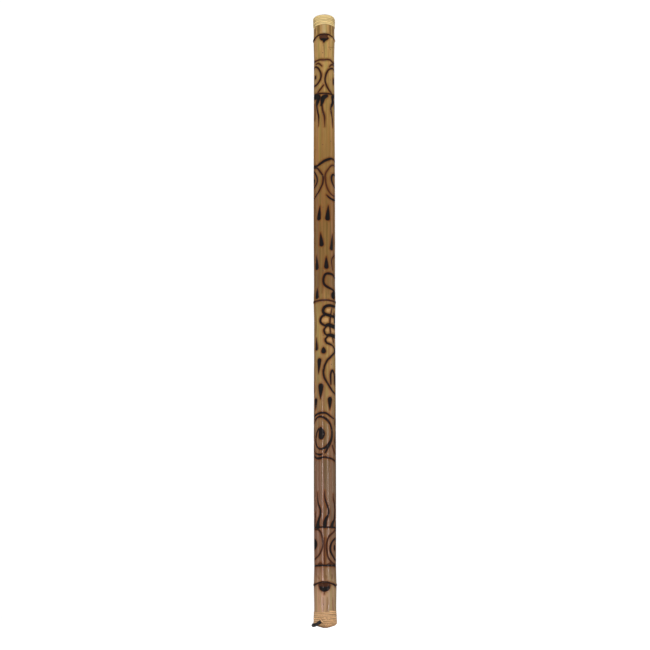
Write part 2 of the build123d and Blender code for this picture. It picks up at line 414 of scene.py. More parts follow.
def burn_top(burn, stain):
    """Node line and bud at the top, the first ring, and the three eyes below it."""
    burn.taper((-33, 1160, 1.8), (-25.5, 1163, 1.6), (-17, 1167, 1.4), (-8.5, 1170, 1.4), (8, 1170.4, 1.4),
               (16, 1168, 1.2), (26, 1165.5, 1.2), (48, 1162.5, 1.2), (66, 1161.5, 1.3), (84, 1160.5, 1.4),
               closed=True)
    burn.patch((-9.2, 1163.5), (-3, 1163), (3, 1164), (9.2, 1163.5), (7.2, 1160), (2.8, 1156.8), (-0.6, 1153),
               (-2.8, 1156.4), (-6.8, 1158.8))
    burn.patch((-9, 1170), (0, 1171), (7.5, 1170), (6.4, 1166.5), (8.4, 1163), (0, 1160), (-8.4, 1163),
               heat=0.2)
    stain.line(2.4, (-0.7, 1148.6), (-0.7, 1146.4))
    stain.line(0.8, (9.5, 1144), (15, 1144.5), (22.6, 1147))
    stain.line(1.0, (0, 1146), (0.4, 1132), (0, 1119))
    burn.line(2.8, (-33, 1118), (-21, 1116.8), (-9, 1117.6), (-0.6, 1117), (12, 1118), (23, 1114), (44, 1116),
              (66, 1119), (84, 1120), heat=0.15, closed=True)
    burn.line(2.6, (-19, 1110), (-12, 1110.5), (-5, 1104), heat=0.2)
    burn.line(2.6, (11.4, 1103), (15.6, 1108), (23.2, 1110), (34, 1107), heat=0.2)
    burn.line(2.6, (52, 1104), (60, 1110), (72, 1111), (80, 1106), heat=0.2)
    left = [(-22, 1105.5), (-16.6, 1103.5), (-11, 1098), (-6.4, 1086), (-8.7, 1075), (-16.3, 1067),
            (-26, 1066), (-34, 1074), (-37, 1088), (-31, 1101)]
    burn.line(3.0, *left, left[0], heat=0.8)
    burn.line(3.0, *shifted(left, 91, -1), shifted(left, 91, -1)[0], heat=0.8)
    burn.line(2.8, (17.4, 1047), (9.1, 1055), (4.4, 1064), (1.7, 1074), (3.7, 1086), (8.9, 1096),
              (17.2, 1101), (23.5, 1100.5), (34, 1095), (41, 1084), (42, 1072), (38, 1060), (30, 1050),
              heat=0.8)
    burn.taper((-21, 1084, 2.4), (-21, 1082, 2.6))
    burn.taper((22.5, 1080, 1.4), (23, 1076, 2.4), (22.5, 1070, 1.6))
    burn.taper((70, 1085, 2.4), (70, 1081, 2.6))
    burn.line(2.6, (-1.2, 1064), (-7.5, 1056), (-16.1, 1047), heat=0.3)
    burn.line(2.6, (49, 1063), (56, 1055), (64, 1047), heat=0.3)
    burn.line(2.6, (92, 1063), (86, 1055), (78, 1047), heat=0.3)
    burn.line(2.6, (-33, 1047), (0, 1046.5), (33, 1046), (66, 1046.5), closed=True, heat=0.9)


def burn_hanging_flames(burn):
    """Flames that hang from the second ring."""
    burn.taper((-28, 1043, 3), (-20, 1041, 4.8), (-11.8, 1040, 4.2), (-14.8, 1031, 4.2), (-16.6, 1024, 2.6))
    burn.taper((-16.8, 1027, 1.8), (-15.5, 1014, 1.5), (-12, 1001, 1.3), (-11.4, 991, 0.9),
               (-12.2, 979, 0.15))
    flame = [(5.6, 1041.4, 2.4), (1, 1039.4, 4.0), (-3, 1036, 4.6), (-4, 1029, 3.4), (-6.2, 1022, 1.8)]
    tail = [(-4.8, 1026, 1.4), (-3.4, 1012, 1.2), (0, 1000, 1.2), (0.7, 990, 0.7), (0.6, 977, 0.1)]
    for across, rise in ((0, 0), (34, -1), (50, 2), (66, -1), (82, 1)):
        burn.taper(*shifted(flame, across, rise))
        burn.taper(*shifted(tail, across, rise), heat=0.7)
    burn.taper((24, 1043, 2.6), (18.8, 1041, 3.2), (20.2, 1031, 3.4), (15.8, 1021, 1.6))
    burn.taper((15.5, 1025, 1.3), (14.2, 1014, 1.3), (17, 1001, 1.3), (18.8, 988, 0.8), (19.6, 978, 0.15))
    burn.line(1.2, (-24, 1028), (-22.5, 1012), (-23.4, 993), heat=0.2)


def burn_upper_eyes(burn):
    """The wavy brow and the three eyes under it."""
    burn.taper((-31, 901, 1.5), (-27, 900, 1.6), (-22, 897, 2.4), (-14, 898, 1.8), (-6.6, 902, 2.2),
               (1.2, 907, 2.4), (10.3, 911, 2.3), (16, 912.5, 1.6), (23.3, 911, 1.3), (36, 905, 1.5),
               (50, 899, 2.0), (64, 903, 2.3), (78, 910, 2.0), (90, 907, 1.5), closed=True)
    left = [(-25.8, 895), (-15.7, 893), (-8, 884), (-2.9, 875), (-3, 862), (-8.2, 850), (-14.4, 841),
            (-27.7, 832), (-40, 840), (-47, 853), (-48, 869), (-43, 885), (-34, 894)]
    burn.line(2.6, *left, left[0], heat=0.8)
    right = [(24.5, 900), (15.8, 899), (7.8, 890), (2, 879), (2, 868), (4.3, 855), (8.8, 845), (16.7, 838),
             (26, 838), (37, 844), (44, 857), (45, 872), (41, 888), (34, 897)]
    burn.line(2.2, *right, right[0], heat=0.35)
    burn.line(2.6, (65, 892), (56, 888), (50, 874), (51, 858), (58, 845), (68, 840), (76, 848), (80, 862),
              (78, 880), (72, 890), (65, 892), heat=0.7)
    inner = [(-27, 889), (-19, 880), (-15, 869), (-18.2, 860), (-27.5, 855), (-36, 861), (-38, 872),
             (-34, 884)]
    burn.line(3.0, *inner, inner[0])
    burn.taper((-27, 873, 1.6), (-25, 868, 2.6), (-27, 862, 1.6))
    burn.taper((26.9, 880, 1.5), (20, 881, 1.7), (15.5, 875, 2.2), (16.1, 866, 2.0), (22.5, 857, 1.4),
               (31, 856, 1.4), (37, 864, 1.8), (36, 875, 1.8), (26.9, 880, 1.5))
    burn.taper((65, 878, 2), (63, 868, 4.2), (65, 858, 2))
    burn.taper((4.2, 837, 0.8), (9.8, 832, 1.8), (18.4, 829, 1.9), (25.9, 830, 1.6), (36, 835, 0.8))


def burn_drops(burn):
    """Rain in the middle of the stick, falling above and just below the middle node, rising lower down."""
    falling = (
        ((-8.9, 815), (-11.6, 786), 4.2),
        ((7.8, 816), (6.2, 785), 4.8),
        ((-7.9, 761), (-6, 733), 4.4),
        ((17.2, 759), (14.8, 726), 3.9),
        ((-17.2, 716), (-16.5, 687), 4.2),
        ((3.4, 713), (3.7, 688), 4.4),
        ((-15.8, 651), (-16.2, 629), 4.2),
        ((-18, 552), (-17.7, 527.5), 3.3),
        ((-2.4, 533), (-2.2, 520.5), 4.7),
    )
    rising = (
        ((-12.6, 482), (-11, 511.5), 4.2),
        ((-8.4, 432), (-7.8, 462), 5.2),
        ((9.8, 411), (10.4, 436), 4.6),
        ((-20.2, 412), (-20.2, 434), 4.0),
    )
    for tip, bulb, half in (*falling, *rising):
        burn.drop(tip, bulb, half)
    columns = 5
    for row in range(6):
        for column in range(columns):
            across = 36 + 13.5 * column + (6 if row % 2 else 0) + rng.uniform(-1.5, 1.5)
            bottom = 784 - 33 * row + rng.uniform(-5, 5)
            beside_loop = across < 58 and row > 2
            if across < 98 and not beside_loop:
                burn.drop((across + rng.uniform(-2, 2), bottom + 31), (across, bottom), rng.uniform(3.6, 4.5))
    for row in range(4):
        for column in range(4):
            across = 60 + 12 * column + (5 if row % 2 else 0) + rng.uniform(-1.5, 1.5)
            top = 560 - 40 * row + rng.uniform(-5, 5)
            if across < 102:
                burn.drop((across + rng.uniform(-1, 1), top - 33), (across, top), rng.uniform(3.2, 4.5))
    burn.line(2.0, (-30, 590), (-30.5, 578), heat=0.5)
    burn.line(2.0, (-26.5, 463), (-26.5, 447), heat=0.5)


def burn_loop_and_nodes(burn):
    """The hanging loop beside the rain, and the two lower node lines."""
    burn.line(2.0, (25.2, 718), (16.9, 711), (15.2, 702), (17.5, 687), heat=0.7)
    loop = [(24.6, 672), (18.6, 677), (7.7, 679), (0.8, 676), (-2.5, 666), (-0.5, 657), (7.6, 651),
            (22.3, 646)]
    burn.line(4.3, *loop)
    burn.line(4.3, *mirrored(loop, 26))
    burn.patch((14, 640), (19, 644), (25, 647), (26, 636), (21, 629), (14.5, 632))
    burn.line(2.6, (-34, 623.5), (0, 625.5), (20, 624.5), (40, 624.5), (66, 625.5), (84, 624), closed=True,
              heat=0.55)
    burn.taper((-33, 76.5, 1.8), (-29, 78, 1.8), (-22, 80.6, 1.4), (-13.4, 83.2, 1.2), (-6, 84.8, 1.5),
               (4, 84.8, 1.5), (10.6, 82.8, 1.1), (17, 81, 1.3), (26, 78, 1.5), (46, 77.5, 1.3),
               (66, 77, 1.3), (84, 76.5, 1.4), closed=True, heat=0.9)
    burn.patch((-12, 76.5), (-9, 78.5), (-1.6, 77), (6, 78.5), (9.4, 76.5), (8, 72.2), (3.8, 68.6),
               (-1.6, 67.2), (-5.6, 68), (-9.6, 70.8))
    burn.patch((-12.6, 82), (-6, 84.5), (2, 84.5), (8, 82), (9.2, 77), (0, 73), (-12, 77), heat=0.32)
    burn.line(0.7, (-1.8, 66), (-1.8, 63), heat=0.0)


CATERPILLAR_AXIS = 26


def burn_caterpillar(burn, pale):
    """The lobed body right of the front line, and its mirror image behind."""
    strokes = (
        (5.2, (25, 614.5), (17, 615), (8, 615), (0.6, 612), (-3, 606), (-1.4, 600), (4, 597), (14, 595),
         (25, 594)),
        (4.0, (0.8, 596), (-5.7, 593), (-9.1, 585), (-5.6, 579), (0.9, 575)),
        (2.2, (15.6, 610), (12.4, 595), (11.1, 582), (11.2, 569), (12.6, 559)),
        (2.2, (17, 552), (20.7, 544)),
        (3.2, (3.3, 573), (-1.2, 567), (1, 559), (6.5, 556)),
        (3.3, (5.5, 553), (1.1, 548), (4.4, 541), (11.3, 539), (18.6, 536)),
        (3.3, (18.6, 536), (24, 531), (24, 525), (18.6, 520), (14, 516), (8.9, 511), (5.6, 508), (0.1, 497),
         (-2.6, 484), (-0.5, 473), (5.6, 462), (11.2, 454), (17.4, 447), (26, 443)),
        (3.7, (12.6, 461), (12, 473), (12.6, 482), (16.2, 488), (21.5, 483), (23, 473), (22.2, 462)),
    )
    blobs = (
        ((3, 575.5, 2.6), (9, 577, 3.6), (18, 575, 3.8), (26, 575, 4)),
        ((5.5, 556, 2.4), (12, 557, 3.0), (19, 556, 3.4), (26, 556, 3.6)),
        ((22, 600, 1.6), (25, 590, 2.4), (24, 583, 1.6)),
    )
    interiors = ((10, 605, 5.2), (1, 587, 5.6), (18.4, 586, 4.6), (6.3, 567, 3.8), (19, 566.5, 4),
                 (10.4, 547.5, 4.6))
    for turned in (lambda points: list(points), lambda points: mirrored(points, CATERPILLAR_AXIS)):
        for width, *points in strokes:
            burn.line(width, *turned(points))
        for blob in blobs:
            burn.taper(*turned(blob))
        for across, height, half in turned(interiors):
            pale.taper((across - half * 0.5, height, half * 0.75), (across + half * 0.5, height, half * 0.75))


def burn_spirals(burn):
    """Three spiral eyes in a row round the stick, between two wavy lines."""
    arc = [(-18, 402.5, 1.7), (-9, 405, 1.9), (0, 405, 1.7), (5, 403, 1.6), (13, 397.5, 1.3),
           (19, 395, 1.2)]
    pupil = [(-8.4, 374.6, 3.2), (-6, 366, 6.2), (-7.2, 359.4, 5.4)]
    coil = [(-9, 375, 1.6), (-12.6, 374, 1.5), (-16.4, 368, 1.4), (-19, 360, 1.4), (-20.4, 352, 1.4),
            (-17.4, 342.5, 1.4), (-11, 336.5, 1.5), (-4.5, 336, 1.8), (3.5, 340.5, 2.4), (11, 350, 2.6),
            (14.8, 363, 2.3), (12.8, 378, 1.8), (6.4, 389.5, 1.9), (-2.1, 396, 1.9), (-9.9, 398, 1.7),
            (-18, 395, 1.4)]
    trail = [(12, 351, 2.0), (8.6, 343.5, 2.1), (5, 337, 1.9), (0.6, 328.5, 1.4)]
    under = [(-18, 327, 1.2), (-10, 325, 1.8), (-5.5, 326, 1.4)]
    for turn in range(3):
        across = turn * ROUND / 3
        last = (-20.6, 384, 1.2) if turn else (-26, 386, 1.2)
        for stroke in (arc, pupil, [*coil, last], trail):
            burn.taper(*shifted(stroke, across))
        burn.taper(*shifted(under, across))
        burn.taper((across + 24.8, 326, 0.8), (across + 20, 332, 1.3), (across + 15, 343, 1.3), heat=0.5)
    burn.taper((-27.5, 398.2, 1.3), (-22, 400.6, 1.5), (-18, 402.5, 1.7))
    burn.taper((-17, 318.6, 1.6), (-11.4, 318, 2.3), (-5.8, 319.2, 1.6))
    burn.line(3.0, (-27.4, 324), (-16.7, 318), (-9, 319), (-1.3, 320), (6.2, 319), (14.7, 317), (25.7, 313),
              (38, 317), (52, 321), (64, 316), (76, 317), (90, 325), closed=True)


def burn_rising_flames(burn):
    """Flames that stand on the third ring."""
    first = [(-15.3, 189, 5), (-14.8, 194, 3.8), (-12.4, 202, 2.3), (-8.9, 212, 1.7), (-9.5, 222, 1.6),
             (-13.6, 232, 1.4), (-15, 241, 1.1), (-15, 254, 0.4)]
    second = [(-0.8, 189, 3.6), (0, 197, 3.4), (2.2, 204, 2.6), (5.4, 209, 1.9), (7.3, 217, 1.6),
              (4.2, 228, 1.5), (0.6, 239, 1.2), (-0.5, 247, 0.9), (-0.4, 256, 0.4)]
    third = [(14, 189, 3.8), (16, 196, 3.0), (20.3, 202, 2.1), (23, 217, 1.6), (21.9, 229, 1.4),
             (17.9, 241, 1.0), (17.1, 250, 0.4)]
    for shape, *places in (
        (first, (0, 0), (60, 1)),
        (second, (0, 0), (30, -2), (76, 0)),
        (third, (0, 0), (47, 2), (77, -2)),
    ):
        for across, rise in places:
            burn.taper(*shifted(shape, across, rise))
    burn.taper((-25.5, 189, 2.2), (-23.5, 200, 1.5), (-21.5, 216, 0.8))
    burn.line(2.6, (-33, 187), (0, 187.5), (33, 187), (66, 186.5), closed=True)


def burn_lower_eyes(burn):
    """Three eyes between the third ring and the fourth."""
    left = [(-25, 184), (-14.6, 183), (-8.4, 178), (-5.6, 168), (-4, 156), (-6.3, 146), (-10.9, 137),
            (-18, 131), (-26.4, 128), (-37, 133), (-43, 145), (-44, 160), (-40, 174), (-33, 182)]
    burn.line(2.6, *left, left[0], heat=0.6)
    right = [(24, 183), (14.4, 176), (7, 169), (3, 157), (3.2, 145), (5.8, 131), (15, 121), (26, 118),
             (37, 124), (44, 136), (45, 152), (42, 166), (34, 178)]
    burn.line(2.6, *right, right[0], heat=0.6)
    back = [(66, 182), (56, 177), (51, 166), (49, 152), (52, 138), (60, 128), (70, 124), (78, 130), (83, 143),
            (84, 158), (80, 172), (74, 180)]
    burn.line(2.6, *back, back[0], heat=0.6)
    burn.taper((23.8, 167, 1.6), (15.2, 161, 1.8), (10.5, 150, 1.9), (12.4, 139, 1.9), (23.3, 127, 1.6),
               (33, 131, 1.6), (37, 144, 1.8), (35, 158, 1.7), (23.8, 167, 1.6))
    burn.taper((-24.4, 163.5, 2.8), (-22.8, 156, 6.4), (-24.4, 148.5, 2.8))
    burn.taper((21.6, 152, 2.6), (21.6, 147, 2.9))
    burn.taper((67, 162, 2.5), (67, 154, 5.4), (67, 147, 2.5))
    burn.line(1.4, (-1.4, 168), (-1.2, 142), (-1.2, 117), heat=0.0)
    burn.line(3.2, (-33, 115.5), (0, 116), (33, 115.5), (66, 116), closed=True)
    for across in (-14, 14, 48, 84):
        side = 1 if across in (-14, 48) else -1
        burn.taper((across, 118, 1.2), (across + side * 4, 119.5, 1.8), (across + side * 9, 118, 1.0),
                   heat=0.1)


def stain_and_lighten(stain, pale):
    """Soft brown stains and pale stripes in the bamboo itself."""
    for across, width in ((-21, 4), (-11.5, 6), (13, 4.5), (21, 6), (38, 5), (52, 6), (70, 5), (88, 6)):
        stain.line(width, (across, 1192), (across, 1182), (across * 1.02, 1174))
    pale.line(8.0, (-0.5, 1192), (-0.5, 1177))
    streaks = ((-14, 632, 706, 5), (-5, 640, 690, 3), (28, 640, 730, 4), (-20, 560, 600, 3))
    for across, low, high, width in streaks:
        stain.taper((across, high, 0.3), (across + 1, (low + high) / 2, width / 2), (across, low, width / 3))
    stain.line(2.6, (-1.2, 113), (-1.0, 103), (-1.4, 91))
    stain.taper((0.4, 258, 0.3), (0.4, 235, 1.8), (0.6, 180, 2.2), (0.4, 125, 1.9), (0.2, 118, 1.2))
    stain.taper((-15, 97, 0.6), (-13.4, 93.4, 1.2), (-11, 91, 0.6))
    stain.taper((0.8, 98, 0.5), (2.2, 95, 1.2), (1.6, 90.6, 0.9))
    stain.taper((12.4, 99, 0.5), (14.6, 96.4, 1.6), (13.4, 92, 0.7))
    for across, width in ((-3.6, 0.7), (4.6, 0.8), (16, 1.2)):
        stain.taper((across, 57, 0.1), (across, 48, width), (across * 1.05, 33, width + 0.3))
    for across in (-6.6, -0.4, 8.2):
        pale.taper((across, 66, 0.1), (across, 54, 0.8), (across, 44, 1.3), (across, 36, 0.4))
    for across in (-31, 25, 41, 58, 76):
        stain.line(rng.uniform(1.0, 2.4), (across, 62), (across + rng.uniform(-1, 1), 33))


# ---------------------------------------------------------------- culm skin

def stem_radius(z):
    """The stem's outer radius, leaving out the flare and ridge of each node."""
    for low, high in zip(NODE_HEIGHTS, NODE_HEIGHTS[1:]):
        if low <= z <= high:
            return NECK_R + (BELLY_R - NECK_R) * sin(pi * ((z - low) / (high - low)) ** SKEW)
    return FOOT_R if z < NODE_HEIGHTS[0] else CROWN_R


def skin_radius(z):
    """The stem with its flares and ridges, and its ends dressed down under the cane."""
    if z <= COVER + DRESSED or z >= TOP - DRESSED:
        return END_R
    radius = stem_radius(z)
    for node, crest in zip(NODE_HEIGHTS, RIDGE_RADII):
        away = abs(z - node)
        reach = CROWN_REACH if z > NODE_HEIGHTS[-1] else FLARE_REACH
        if away < reach:
            share = min(1, (reach - away) / (reach - RIDGE_HALF))
            radius += (FLARE_R - stem_radius(z)) * share
        if away < 2 * RIDGE_HALF:
            radius += (crest - FLARE_R) * (1 - (away / RIDGE_HALF / 2) ** 2) ** 2
    return radius


def row_heights():
    """Heights of the skin's rows, close together at each ridge and far apart under the cane."""
    heights = [COVER, COVER + DRESSED, COVER + DRESSED + EDGE_GAP]
    z = heights[-1]
    last = TOP - DRESSED - EDGE_GAP
    while z < last - ROW_STEP:
        near_node = min(abs(z - node) for node in NODE_HEIGHTS) < FINE_REACH
        z += FINE_STEP if near_node else ROW_STEP
        heights.append(z)
    return [*heights, last, TOP - DRESSED, TOP]


def mound(across, height, bud):
    """A smooth mound, 1 at its middle."""
    middle, level, wide, tall = bud
    return np.exp(-(((across - middle) / wide) ** 2) - ((height - level) / tall) ** 2)


def bud_relief(across, height):
    """The two bud scars, the furrow below the upper one, and the sunken stripes below the lower one."""
    buds = mound(across, height, UPPER_BUD) + mound(across, height, LOWER_BUD)
    furrow = np.exp(-((across / 1.8) ** 2)) * np.clip((FURROW_TOP - height) / EASE, 0, 1)
    furrow = furrow * np.clip((height - FURROW_FOOT) / EASE, 0, 1)
    stripes = np.exp(-(((across - 2.8) / 1.2) ** 2)) + np.exp(-(((across + 4.5) / 1.2) ** 2))
    stripes = stripes * np.clip((STRIPE_TOP - height) / EASE, 0, 1)
    return BUD_RISE * buds - FURROW_DEPTH * furrow - STRIPE_DEPTH * stripes


def bore_outline():
    """Radius and height of the inside, from the top down."""
    points = [(PLUG_R, COVER), (PLUG_R, NODE_HEIGHTS[0] - SEPTUM_HALF - 0.2)]
    for low, high in zip(NODE_HEIGHTS, NODE_HEIGHTS[1:]):
        points += [(SEPTUM_R, low - SEPTUM_HALF), (SEPTUM_R, low + SEPTUM_HALF)]
        steps = np.linspace(low + SEPTUM_HALF + 0.2, high - SEPTUM_HALF - 0.2, 5)
        points += [(stem_radius(z) - WALL, z) for z in steps]
    last = NODE_HEIGHTS[-1]
    points += [(SEPTUM_R, last - SEPTUM_HALF), (SEPTUM_R, last + SEPTUM_HALF)]
    points += [(PLUG_R, last + SEPTUM_HALF + 0.2), (PLUG_R, TOP)]
    return points[::-1]


def bamboo_material():
    """Varnished bamboo, darker in its lower half, partly by painted shade, with a painted pinkish sheen low
    down and its figures burned in.
    """
    graph = Graph("bamboo_varnished")
    place = graph.place()
    height = graph.math("DIVIDE", graph.height(), LENGTH * MM)
    # Colour by height: partly the bamboo's own tone, partly painted light and shade, brighter and yellower
    # towards the top and duller towards the bottom
    colour = graph.ramp(
        height,
        (0.00, srgb(196, 162, 126)),
        (0.05, srgb(185, 152, 116)),
        (0.09, srgb(138, 105, 78)),
        (0.16, srgb(126, 98, 79)),
        (0.26, srgb(118, 90, 65)),
        (0.34, srgb(146, 114, 74)),
        (0.42, srgb(159, 130, 80)),
        (0.48, srgb(168, 136, 81)),
        (0.54, srgb(135, 102, 61)),
        (0.62, srgb(136, 102, 58)),
        (0.68, srgb(140, 102, 56)),
        (0.76, srgb(158, 120, 63)),
        (0.86, srgb(172, 139, 79)),
        (0.93, srgb(190, 158, 94)),
        (1.00, srgb(191, 160, 102)),
    )
    # Fibres, broad streaks and cloudy patches
    fibres = graph.noise(place, 60.0, (38, 38, 0.5), detail=5.0, roughness=0.65)
    streaks = graph.noise(place, 20.0, (13, 13, 0.22), detail=3.0)
    clouds = graph.noise(place, 26.0, (1, 1, 0.4), detail=4.0)
    colour = graph.scale_brightness(colour, 0.80, 1.17, graph.share(fibres, 0.32, 0.68))
    colour = graph.scale_brightness(colour, 0.84, 1.14, graph.share(streaks, 0.34, 0.66))
    stripes = graph.noise(place, 20.0, (7, 7, 0.12), detail=2.0)
    ruddy = graph.mix(1.0, colour, (1.14, 0.97, 0.98, 1.0), "MULTIPLY")
    yellow = graph.mix(1.0, colour, (0.94, 1.02, 0.86, 1.0), "MULTIPLY")
    colour = graph.mix(graph.share(stripes, 0.38, 0.62), ruddy, yellow)
    colour = graph.mix(graph.share(clouds, 0.55, 0.8, 0.0, 0.4), colour, srgb(150, 98, 45))
    olive = graph.noise(place, 11.0, (3, 3, 0.5), detail=2.0)
    colour = graph.mix(graph.share(olive, 0.5, 0.75, 0.0, 0.35), colour, srgb(136, 122, 74))
    # Painted sheen: a pinkish sheen along the streaks in the lower part of the stick
    painted_sheen = graph.math("MULTIPLY", graph.share(height, 0.36, 0.2), graph.share(streaks, 0.48, 0.72, 0.0, 0.5))
    colour = graph.mix(painted_sheen, colour, srgb(166, 132, 118))
    specks = graph.noise(place, 420.0, (1, 1, 0.35), detail=2.0)
    colour = graph.mix(graph.share(specks, 0.70, 0.80, 0.0, 0.55), colour, srgb(84, 54, 28))

    stain = graph.value("stain")
    colour = graph.mix(graph.share(stain, 2.2, -1.0, 0.0, 0.62), colour, srgb(112, 74, 38))
    pale = graph.value("pale")
    bare = graph.ramp(
        height,
        (0.05, srgb(190, 154, 134)),
        (0.40, srgb(208, 158, 100)),
        (0.95, srgb(206, 180, 124)),
    )
    colour = graph.mix(graph.share(pale, 1.2, -0.8, 0.0, 0.6), colour, bare)

    # Burned figures: scorch halo, brown edge and black core
    wobble = graph.noise(place, 700.0, detail=2.0)
    distance = graph.math("ADD", graph.value("burn"), graph.math("MULTIPLY_ADD", wobble, 0.9, -0.45))
    soot = graph.noise(place, 150.0, (1, 1, 0.5), detail=4.0)
    halo = graph.math("MULTIPLY", graph.share(distance, 5.0, 0.4), graph.share(soot, 0.25, 0.7, 0.3, 0.85))
    colour = graph.mix(halo, colour, srgb(124, 70, 27))
    edge = graph.share(distance, 1.3, 0.0)
    colour = graph.mix(edge, colour, srgb(84, 44, 20))
    black = graph.mix(soot, srgb(8, 7, 8), srgb(30, 24, 21))
    red = graph.mix(soot, srgb(64, 32, 14), srgb(102, 57, 28))
    core = graph.mix(graph.value("char"), red, black)
    colour = graph.mix(graph.share(distance, 0.2, -0.6), colour, core)

    burned = graph.share(distance, 0.6, -0.4)
    matt = graph.math("MULTIPLY", burned, 0.16)
    roughness = graph.math("ADD", graph.share(fibres, 0.3, 0.7, 0.30, 0.42), matt)
    varnish = graph.share(distance, 0.8, -0.4, 0.3, 0.06)
    graph.tree.links.new(varnish, graph.shader.inputs["Coat Weight"])
    fine = graph.bump(fibres, 0.00012, 0.7)
    sunken = graph.math("MULTIPLY", burned, -1.0)
    ribs = graph.math("MULTIPLY", streaks, 0.7)
    relief = graph.bump(graph.math("ADD", sunken, ribs), 0.00025, 0.8, fine)
    return graph.finish(colour, roughness, relief, Coat_Roughness=0.12, Specular_IOR_Level=0.12)


def raw_bamboo(name, dark, light, rough, depth, scale, stretch=(1, 1, 1)):
    """Raw straw-coloured bamboo. rough is the roughness of its dark and its light grain."""
    graph = Graph(name)
    grain = graph.noise(graph.place(), scale, stretch, detail=4.0)
    colour = graph.ramp(grain, (0.3, dark), (0.7, light))
    return graph.finish(colour, graph.share(grain, 0.2, 0.8, *rough), graph.bump(grain, depth))


def make_culm():
    heights = np.array(row_heights())
    angles = np.arange(COLUMNS) * 2 * pi / COLUMNS - pi
    across = angles * REFERENCE
    rows = len(heights)

    lift = np.zeros((rows, COLUMNS))
    for node, (rise, reach) in zip(NODE_HEIGHTS, RIDGE_ARCHES):
        fade = np.exp(-(((heights - node) / ARCH_FADE) ** 2))
        lift += fade[:, None] * (rise * np.exp(-((across / reach) ** 2)))[None, :]
    covered = (heights <= COVER + DRESSED + 2 * EDGE_GAP) | (heights >= TOP - DRESSED - 2 * EDGE_GAP)
    lift[covered] = 0
    limit = TOP - DRESSED - 2 * EDGE_GAP - heights
    lift = np.where(covered[:, None], 0, np.minimum(lift, np.maximum(limit, 0)[:, None] * CAP_SHARE))
    height = heights[:, None] + lift

    burn = Figures(across, height)
    stain = Figures(across, height)
    pale = Figures(across, height)
    burn_top(burn, stain)
    burn_hanging_flames(burn)
    burn_upper_eyes(burn)
    burn_drops(burn)
    burn_loop_and_nodes(burn)
    burn_caterpillar(burn, pale)
    burn_spirals(burn)
    burn_rising_flames(burn)
    burn_lower_eyes(burn)
    stain_and_lighten(stain, pale)

    radius = np.array([skin_radius(z) for z in heights])[:, None] + np.zeros((rows, COLUMNS))
    waves = np.zeros((rows, COLUMNS))
    for depth, count, twist in WAVES:
        waves += depth * np.sin(count * angles[None, :] + heights[:, None] / twist)
    engraved = GROOVE * np.clip(0.5 - burn.distance, 0, 1)
    on_ridge = np.min([np.abs(heights - node) for node in NODE_HEIGHTS], axis=0) < BARE_RIDGE
    engraved[on_ridge] *= RIDGE_GROOVE
    shape = waves + bud_relief(across[None, :], height) - engraved
    shape[covered] = 0
    radius = np.minimum(radius + shape, max(RIDGE_RADII))

    points = np.stack((radius * np.sin(angles), -radius * np.cos(angles), height), axis=-1)
    points = points.reshape(-1, 3).tolist()
    bore = bore_outline()
    for bore_radius, z in bore:
        points += [(bore_radius * sin(angle), -bore_radius * cos(angle), z) for angle in angles]
    total = rows + len(bore)
    faces = ring_faces(total, COLUMNS)
    last = (total - 1) * COLUMNS
    for column in range(COLUMNS):
        following = (column + 1) % COLUMNS
        faces.append((last + column, last + following, following, column))

    inside = len(bore) * COLUMNS
    values = {"char": np.concatenate((burn.heat.ravel(), np.ones(inside)))}
    for key, figures in (("burn", burn), ("stain", stain), ("pale", pale)):
        values[key] = np.concatenate((figures.distance.ravel(), np.full(inside, REACH)))
    culm = mesh_piece("culm_skin", points, faces, bamboo_material(), values)
    straw = srgb(176, 146, 98), srgb(214, 188, 138)
    culm.data.materials.append(raw_bamboo("bamboo_bore", *straw, (0.6, 0.8), 0.0002, 50.0, (14, 14, 0.6)))
    outer_faces = (rows - 1) * COLUMNS
    numbers = np.zeros(len(culm.data.polygons), dtype=np.int32)
    numbers[outer_faces:] = 1
    culm.data.polygons.foreach_set("material_index", numbers)
    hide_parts("bamboo_culm")


# ---------------------------------------------------------------- cane ends

RIM_HIGH = 10.2
LASHINGS = {  # far edge, turns, and radii at the rim and at the far edge
    "bottom": (COVER + 24, 6, 22.25, 21.0),
    "top": (COVER + 21.5, 5, 22.0, 21.6),
}
LASHING_ARCH = {"bottom": 0.0, "top": 2.4}  # how much nearer to the end the last turn lies at the front
LAST_TURN_ENDS = {"bottom": 10, "top": -82}  # angle from the front
SLACK, SLACK_STEPS = 0.12, 6  # how far a turn strays up or down, and the steps from one stray to the next
EDGING_COUNT, EDGING_OVERLAP, EDGING_SWEEP = 42, 1.12, 92.0  # the sweep is in degrees over the rim
EDGING_MIDDLE, EDGING_BULGE, EDGING_RISE, EDGING_FOOT = 17.4, 4.3, 11.7, 11.2
COIL_R, COIL_MIDDLE, COIL_TURNS = 18.3, 1.4, 5
COIL_EDGES = {"bottom": 4.1, "top": 4.9}
SECTION = (  # across, from -1 to 1, and height: from -1 at the strand's edge to 1 at its crest
    (-1.0, -0.9),
    (-0.9, -0.1),
    (-0.6, 0.62),
    (-0.2, 0.95),
    (0.2, 0.95),
    (0.6, 0.62),
    (0.9, -0.1),
    (1.0, -0.9),
    (0.8, -2.2),
    (-0.8, -2.2),
)


